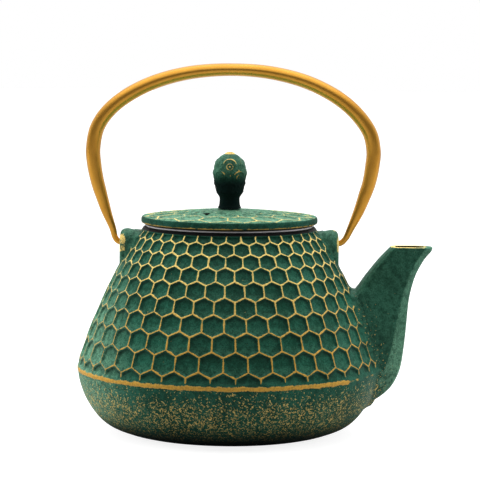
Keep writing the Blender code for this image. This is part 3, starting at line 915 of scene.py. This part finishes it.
def lid():
    """The cast lid: honeycomb dome, rolled edge and an enamelled underside with a locating ring."""
    skin = LID_SKIN
    vent = turn_point(VENT_PLACE[0], 0.0, math.radians(VENT_PLACE[1]))

    def depth_at(points):
        radius = np.hypot(points[:, 0], points[:, 1])
        depth = LID_DEPTH * ease((radius - 3.0) / 17.0) * ease((45.3 - radius) / 1.0)
        to_vent = np.hypot(points[:, 0] - vent.x, points[:, 1] - vent.y)
        behind = ease(0.5 + (points[:, 1] - vent.y) / 1.2)
        raised = behind * ease((VENT_RADIUS + 2.6 - to_vent) / 2.0)
        return depth * (1.0 - raised), np.zeros(len(points))

    bm = honeycomb(LID_CELLS, LID_ZIGZAG, 8, skin.v[0], skin.v[-1], skin.cell_width)
    wrap_honeycomb(bm, skin, LID_ZIGZAG, depth_at)
    inner, outer = open_loops(bm, lambda co: math.hypot(co.x, co.y))
    dome = [(r, lid_top(r) - LID_THICKNESS) for r in (30.0, 22.0, 14.0, 7.0, SCREW_HOLE_RADIUS)]
    under = LID_UNDERSIDE + dome + [(r, lid_top(r)) for r in (SCREW_HOLE_RADIUS, 4.0)]
    slots = [COATED] * len(LID_EDGE) + [ENAMELLED] * (len(under) - 1) + [COATED]
    stitch(bm, grow(bm, outer, LID_EDGE + under, slots), inner)
    piece = make_piece("lid_casting", bm, CAST)
    mouth = lid_top(VENT_PLACE[0])
    flare = VENT_RADIUS + VENT_CHAMFER
    drill = lathe("drill", [(VENT_RADIUS, 100.0), (VENT_RADIUS, mouth - VENT_CHAMFER), (flare, mouth),
                            (flare, 125.0)], 48, CAST, [ENAMELLED] * 4)
    drill.location = vent * MM
    bpy.context.view_layer.update()
    combine(piece, drill, "DIFFERENCE")
    shade(piece, 40.0)
    lid_masks(piece)
    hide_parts("lid_plate")
    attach(piece, "lid")


def lid_masks(piece):
    """Gold on the ridges, fading towards the knob, and along the lower edge; painted light on top makes
    the green lighter and the gold paler there, and painted shade darkens the edge.
    """
    points = points_of(piece)
    radius = np.hypot(points[:, 0], points[:, 1])
    u, v = LID_SKIN.flat(points)
    width = LID_SKIN.cell_width(v)
    inset = (1.0 - nearest_gauge(u, v, LID_ZIGZAG)) * width / 2
    top = (points[:, 2] > lid_top(np.minimum(radius, LID_RADIUS)) - 1.6) & (radius < 45.1) & (radius > 5.0)
    near_edge = 0.52 + 0.42 * ease((radius - 14.0) / 24.0)
    wear = np.where(top, np.maximum(1.0 - inset / ridge_scale(width), 0.0) * near_edge, 0.0)
    edge = np.abs(points[:, 2] - 109.5)
    wear = np.where((radius > 45.3) & (points[:, 2] < 111.2), 0.85 - edge * 0.75, wear)
    wear = np.where((radius > 45.05) & (points[:, 2] > 112.2), 0.30, wear)
    # Painted light on the top, with paler gold and lighter green; painted shade darkens the edge.
    store(piece.data, wear=wear, pale=0.4 + 0.6 * top, mint=top,
          soot=np.where(top | (radius < 5.0), 0.0, 0.3))


def ring_bump(distance, centre, half_width):
    """1 on a ridge line and 0 beyond its half width."""
    share = np.clip(np.abs(distance - centre) / half_width, 0.0, 1.0)
    return (1 - share ** 2) ** 1.5


def scale_relief(turn, travel, radius, heights, line):
    """Relief of the knob's scales, and 0 to 1 for how close each point is to a raised line's crest."""
    def across_from(place):
        centre = place * 2 * math.pi / SCALES_ROUND
        return (np.mod(turn - centre + math.pi, 2 * math.pi) - math.pi) * radius

    relief, crest = np.zeros_like(travel), np.zeros_like(travel)
    for height, stagger, arch in SCALE_ROWS:
        along = travel - np.interp(height, heights, line)
        for k in range(SCALES_ROUND):
            across = across_from(k + stagger)
            eye = np.hypot(across, along)
            hood = np.hypot(across / 3.5, along / arch) * 3.5
            arch_line = ring_bump(hood, 3.5, 0.62) * ease((along - 0.4) / 1.6)
            ring = np.maximum(0.8 * ring_bump(eye, 1.6, 0.5), ring_bump(eye, 0.0, 0.75))
            pit = ease((3.3 - hood) / 0.8) * ease((along + 2.6) / 2.0)
            relief = np.maximum(relief - 0.3 * pit, np.maximum(0.40 * arch_line, 0.5 * ring - 0.2))
            crest = np.maximum(crest, np.maximum(arch_line, ring))
        for k in range(SCALES_ROUND):
            across = across_from(k + stagger + 0.5)
            for shift in (1.2, -1.9):
                bead = ring_bump(np.hypot(across - shift * 0.3, along - shift), 0.0, 0.75)
                relief, crest = np.maximum(relief, 0.5 * bead), np.maximum(crest, bead)
    return relief, crest


def knob():
    """Turned cone of scales: hooded arches over ringed eyes, with beads between them."""
    profile = catmull_rom(KNOB, KNOB_STEPS)
    radius, height = profile[:, 0], profile[:, 1]
    travel = np.concatenate([[0.0], np.cumsum(np.hypot(np.diff(radius), np.diff(height)))])
    slope_r, slope_z = np.gradient(height), -np.gradient(radius)
    length = np.hypot(slope_r, slope_z)
    turn = np.arange(KNOB_COLUMNS) * 2 * math.pi / KNOB_COLUMNS
    turn_grid, row = np.meshgrid(turn, np.arange(len(profile)))
    relief, crest = scale_relief(turn_grid, travel[row], radius[row], height, travel)
    relief *= ease((height[row] - 6.0) / 2.0) * ease((28.0 - height[row]) / 4.0)
    out = radius[row] + slope_r[row] / length[row] * relief
    up = KNOB_FOOT + height[row] + slope_z[row] / length[row] * relief

    bm = bmesh.new()
    loops = [[bm.verts.new(turn_point(out[i, k], up[i, k], turn[k])) for k in range(KNOB_COLUMNS)]
             for i in range(len(profile))]
    loops += [ring_of(bm, r, KNOB_FOOT + z, KNOB_COLUMNS) for r, z in KNOB_CAP]
    skin_loops(bm, loops)
    close_loop(bm, loops[-1], KNOB_FOOT + KNOB_CAP[-1][1])
    bore = [ring_of(bm, r, z, KNOB_COLUMNS) for r, z in ((2.3, KNOB_FOOT), (2.3, 127.0), (1.0, 127.6))]
    skin_loops(bm, [loops[0]] + bore, ENAMELLED)
    close_loop(bm, bore[-1], 128.0, ENAMELLED)
    piece = make_piece("knob_casting", bm, CAST, 60.0)
    knob_masks(piece, crest.ravel())
    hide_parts("lid_knob")
    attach(piece, "lid")


def knob_masks(piece, crest):
    """Gold on the upper scales and the tip; painted shade blackens the lower part under the bulge, and
    painted light makes the gold paler and the green lighter higher up; crest belongs to the first points.
    """
    points = points_of(piece)
    raised = np.zeros(len(points))
    raised[:len(crest)] = crest
    above = points[:, 2] - KNOB_FOOT
    facing = np.arctan2(points[:, 0], -points[:, 1])
    shine = ease((above - 11.0) / 6.0) * (0.70 + 0.30 * np.cos(2.0 * (facing - 0.15)))
    wear = raised * 0.86 * shine
    wear = np.where((above > 28.3) & (np.hypot(points[:, 0], points[:, 1]) > 0.6), 1.2, wear)
    # Painted shade blackens the lower part under the bulge; painted light makes the gold paler and the
    # green lighter higher up.
    soot = ease((19.5 - above) / 7.0)
    pale = ease((above - 16.0) / 8.0) * ease((30.0 - above) / 1.6)
    store(piece.data, wear=wear, pale=pale, soot=soot, mint=0.42 * ease((above - 14.0) / 8.0))


def knob_fixing():
    """The slotted screw and its washer, under the lid."""
    low, top = SCREW_LOW.z, SCREW_HIGH.z
    head = [(0.9, 0.0), (2.6, 0.12), (3.4, 0.5), (3.7, 1.1), (3.7, 2.1), (3.5, 2.3), (2.0, 2.3)]
    head = [(radius, low + rise) for radius, rise in head]
    thread = []
    z = low + 6.0
    while z < top - 1.2:
        thread += [(2.0, z), (1.72, z + 0.25), (2.0, z + 0.5)]
        z += 0.7
    screw = lathe("screw", head + thread + [(2.0, top - 0.6), (1.5, top)], 64, [STEEL], sharp=30.0)
    bm = bmesh.new()
    slot = Matrix.Translation((0, 0, low)) @ Matrix.Diagonal((12, 1.0, 2.4, 1))
    bmesh.ops.create_cube(bm, size=1.0, matrix=slot)
    combine(screw, make_piece("slot", bm, [STEEL]), "DIFFERENCE")
    shade(screw, 30.0)
    low, high, outer = WASHER_LOW.z, WASHER_HIGH.z, WASHER_HIGH.x
    washer = lathe("washer", [(2.3, low), (outer - 0.2, low), (outer, low + 0.2), (outer, high - 0.2),
                              (outer - 0.2, high), (2.3, high)], 96, [STEEL], closed=True, sharp=30.0)
    for piece, node in ((screw, "knob_screw"), (washer, "knob_washer")):
        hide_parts(node)
        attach(piece, "lid")


# ---- infuser
def perforated(bm, centres, place):
    """Hexagonal cells with a round hole each, put into space by place(x, y)."""
    reach = HOLE_PITCH / 2 / math.cos(math.pi / 6)
    for cx, cy in centres:
        corners = [bm.verts.new(place(cx + reach * math.sin(t), cy + reach * math.cos(t)))
                   for t in (math.pi * k / 3 for k in range(6))]
        hole = [bm.verts.new(place(cx + HOLE_RADIUS * math.sin(t), cy + HOLE_RADIUS * math.cos(t)))
                for t in (math.pi * k / 6 for k in range(12))]
        for k in range(6):
            rim = (hole[(2 * k + 2) % 12], hole[2 * k + 1], hole[2 * k])
            bm.faces.new((corners[k], corners[(k + 1) % 6]) + rim)
    bmesh.ops.remove_doubles(bm, verts=bm.verts, dist=0.01)


def infuser_wall():
    """A cylinder of perforated sheet with a plain band at each end."""
    radius = WALL_HIGH.x
    columns = round(2 * math.pi * radius / HOLE_PITCH)
    stretch = 2 * math.pi / (columns * HOLE_PITCH)
    rise = HOLE_PITCH * ROW_PITCH
    low, high = WALL_LOW.z + 5.0, WALL_HIGH.z - 6.0
    rows = int((high - low) / rise)
    centres = [((i + 0.5 * (j % 2)) * HOLE_PITCH, low + (j + 0.5) * rise)
               for j in range(rows) for i in range(columns)]
    bm = bmesh.new()
    perforated(bm, centres, lambda x, y: turn_point(radius, y, x * stretch))
    middle = (low + high) / 2
    ends = [[], []]
    for edge in bm.edges:
        if edge.is_boundary:
            for vert in edge.verts:
                if vert.co.z < low + 0.45 * rise or vert.co.z > low + (rows - 0.45) * rise:
                    ends[vert.co.z > middle].append(vert)
    for loop, z in zip(ends, (WALL_LOW.z, WALL_HIGH.z)):
        stitch(bm, sorted(set(loop), key=bearing), ring_of(bm, radius, z, 2 * columns))
    inner = 1 - SHEET_THICKNESS / radius
    thicken(bm, lambda co: (co.x * inner, co.y * inner, co.z))
    return make_piece("strainer_wall", bm, [STEEL], 30.0)


def thicken(bm, move):
    """Doubles an open sheet, with the copy's points put at move(point), and closes the edges."""
    faces = bm.faces[:]
    edges = [e for e in bm.edges if e.is_boundary]
    twin = {v: bm.verts.new(move(v.co)) for v in bm.verts[:]}
    for face in faces:
        bm.faces.new([twin[v] for v in reversed(face.verts)])
    for edge in edges:
        a, b = edge.verts
        bm.faces.new((a, b, twin[b], twin[a]))


def infuser_floor():
    """A perforated disc with a plain rim."""
    edge = FLOOR_HIGH.x
    reach = int(edge / HOLE_PITCH) + 2
    centres = []
    for j in range(-reach, reach + 1):
        for i in range(-reach, reach + 1):
            x, y = (i + 0.5 * (j % 2)) * HOLE_PITCH, j * HOLE_PITCH * ROW_PITCH
            if math.hypot(x, y) < edge - 4.5:
                centres.append((x, y))
    bm = bmesh.new()
    perforated(bm, centres, lambda x, y: Vector((x, y, FLOOR_HIGH.z)))
    outline = [e for e in bm.edges if e.is_boundary
               and min(math.hypot(v.co.x - x, v.co.y - y) for v in e.verts[:1] for x, y in centres) > 1.2]
    rim = ring_of(bm, edge, FLOOR_HIGH.z, 160)
    rim_edges = [bm.edges.new((rim[i - 1], rim[i])) for i in range(len(rim))]
    bmesh.ops.triangle_fill(bm, edges=outline + rim_edges, use_beauty=True)
    thicken(bm, lambda co: (co.x, co.y, FLOOR_LOW.z))
    return make_piece("strainer_floor", bm, [STEEL], 30.0)


def infuser():
    """A flanged skirt, the perforated wall and floor, and the pressed ring that holds the floor."""
    low, high, inner, outer = RIM_LOW.z, RIM_HIGH.z - 0.2, SKIRT_INNER, RIM_HIGH.x
    skirt = [(inner, low), (inner + 0.8, low), (inner + 0.8, high - 1.3), (inner + 1.1, high - 0.9)]
    flange = [(inner + 1.5, high - 0.8), (outer - 0.75, high - 0.8), (outer - 0.5, high - 0.72),
              (outer - 0.05, high - 0.25), (outer, high - 0.12), (outer - 0.1, high - 0.02),
              (outer - 0.5, high), (inner + 1.3, high), (inner + 0.6, high - 0.12),
              (inner + 0.15, high - 0.5), (inner, high - 1.1)]
    rim = lathe("strainer_rim", skirt + flange, 240, [STEEL], closed=True, sharp=35.0)
    low, high, outer = CUP_LOW.z, CUP_HIGH.z, CUP_HIGH.x
    pressed = [(CUP_LIP_INNER, low), (outer - 0.7, low), (outer - 0.2, low + 0.2), (outer, low + 0.7),
               (outer, high - 0.2), (outer - 0.2, high), (outer - 0.6, high), (outer - 0.8, high - 0.2),
               (outer - 0.8, low + 1.0), (outer - 1.0, low + 0.8), (CUP_LIP_INNER, low + 0.8)]
    cup = lathe("strainer_foot", pressed, 240, [STEEL], closed=True, sharp=35.0)
    pieces = {"infuser_rim": rim, "infuser_cup": cup, "infuser_wall": infuser_wall(),
              "infuser_floor": infuser_floor()}
    for node, piece in pieces.items():
        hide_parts(node)
        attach(piece, "infuser")


# ---- bail
def bail_size(far):
    """In-plane and crosswise size of the bail at a distance from its nearer peg."""
    distance, thick, wide = np.array(BAIL_SECTION).T
    return np.interp(far, distance, thick), np.interp(far, distance, wide)


def bail_outer(thick, wide, far):
    """Oval section whose inner third is pressed in by a hair, which leaves a line along the bail."""
    points = []
    press = 0.035 * ease((far - 10.0) / 20.0)
    for k in range(BAIL_SIDES):
        turn = 2 * math.pi * k / BAIL_SIDES
        away = abs((turn + math.pi) % (2 * math.pi) - math.pi) / math.pi
        shrink = 1 - press * ease((away - BAIL_LINE) / 0.035)
        points.append((thick / 2 * math.cos(turn) * shrink, wide / 2 * math.sin(turn) * shrink))
    return points


def bail_keyhole(thick, wide):
    """The roll's hollow with its seam, which runs out through the inner side."""
    half_thick, half_wide = thick / 2 - BAIL_SHEET, wide / 2 - BAIL_SHEET
    start = math.pi - math.asin(BAIL_SEAM / 2 / half_wide)
    turns = [-start + 2 * start * i / 28 for i in range(29)]
    hollow = [(half_thick * math.cos(turn), half_wide * math.sin(turn)) for turn in turns]
    edge, half_seam = -thick / 2, BAIL_SEAM / 2
    lips = [(edge + 0.35, half_seam), (edge, half_seam + 0.25), (edge - 1, half_seam + 0.25)]
    return hollow + lips + [(x, -y) for x, y in reversed(lips)]


def bail():
    """Handle rolled from sheet: an oval tube with an open seam inside, its ends bent into pegs."""
    route = catmull_rom(BAIL_ROUTE, BAIL_STEPS)
    travelled = np.concatenate([[0.0], np.cumsum(np.linalg.norm(np.diff(route, axis=0), axis=1))])
    skin, hollow = bmesh.new(), bmesh.new()
    loops, inner_loops = [], []
    for i, (x, z) in enumerate(route):
        ahead = route[min(i + 1, len(route) - 1)] - route[max(i - 1, 0)]
        outward = Vector((-ahead[1], 0.0, ahead[0])).normalized()
        far = min(travelled[i], travelled[-1] - travelled[i])
        thick, wide = bail_size(far)

        def section(bm, outline):
            return [bm.verts.new(Vector((x, b, z)) + outward * a) for a, b in outline]

        loops.append(section(skin, bail_outer(thick, wide, far)))
        if far > BAIL_HOLLOW_FROM:
            inner_loops.append(section(hollow, bail_keyhole(thick, wide)))
    skin_loops(skin, loops, caps=True)
    skin_loops(hollow, inner_loops, caps=True)
    piece = make_piece("bail_tube", skin, [GOLD])
    combine(piece, make_piece("bail_hollow", hollow, [GOLD]), "DIFFERENCE")
    shade(piece, 35.0)
    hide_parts("bail")
    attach(piece, "bail")


pot()
lid()
knob()
knob_fixing()
infuser()
bail()


# ---- camera, floor, light
def camera():
    seer = bpy.data.objects.new("camera", bpy.data.cameras.new("camera"))
    scene.collection.objects.link(seer)
    seer.data.lens = CAMERA_LENS
    seer.data.sensor_width = 36.0
    seer.data.clip_end = 50.0
    aim = Matrix.Rotation(math.pi / 2 - CAMERA_PITCH, 4, "X")
    roll = Matrix.Rotation(math.radians(CAMERA_ROLL), 4, "Z")
    seer.matrix_world = Matrix.Translation(Vector(CAMERA_PLACE) * MM) @ aim @ roll
    scene.camera = seer


def table():
    """A white table top, which lights the object from below as a mid grey one would."""
    bm = bmesh.new()
    bmesh.ops.create_circle(bm, cap_ends=True, segments=96, radius=6000.0)
    floor = make_piece("floor", bm, [])
    n = coat("floor")
    tone = n.mix(n.spread(n.noise(6.0), 0.3, 0.7), (0.36, 0.36, 0.36, 1.0), (0.34, 0.34, 0.34, 1.0))
    seen = n.times(n.add("ShaderNodeLightPath").outputs["Is Camera Ray"], FLOOR_GLOW)
    floor.data.materials.append(n.finish(Base_Color=tone, Roughness=0.75, Emission_Color=WHITE,
                                         Emission_Strength=seen))
    floor.location.z = -0.0002


def light_tent():
    """Bright behind, brightest above and dim in front; seen directly it is plain white."""
    scene.world = bpy.data.worlds.new("tent")
    n = Nodes(scene.world, "Background", "Generated")
    split = n.fill(n.add("ShaderNodeSeparateXYZ"), Vector=n.place)
    walls = n.spread(split.outputs["Y"], -0.35, 0.7, TENT_FRONT, TENT_BACK)
    bright = n.plus(walls, n.spread(split.outputs["Z"], 0.5, 0.85, 0.0, TENT_TOP))
    seen = n.add("ShaderNodeLightPath").outputs["Is Camera Ray"]
    strength = n.plus(n.times(bright, n.math("SUBTRACT", 1.0, seen)), seen)
    n.finish(Color=WHITE, Strength=strength)


def soft_boxes():
    """Large soft lamps, each turned towards a height on the pot's axis."""
    for name, place, size, height, power in SOFT_BOXES:
        light = bpy.data.lights.new(name, "AREA")
        light.shape = "RECTANGLE"
        light.size, light.size_y = size
        light.energy = power
        lamp = bpy.data.objects.new(name, light)
        scene.collection.objects.link(lamp)
        lamp.location = place
        aim = Vector((0.0, 0.0, height)) - Vector(place)
        lamp.rotation_euler = aim.to_track_quat("-Z", "Y").to_euler()
        lamp.visible_glossy = False


scene.view_settings.view_transform = "Standard"
camera()
table()
light_tent()
soft_boxes()
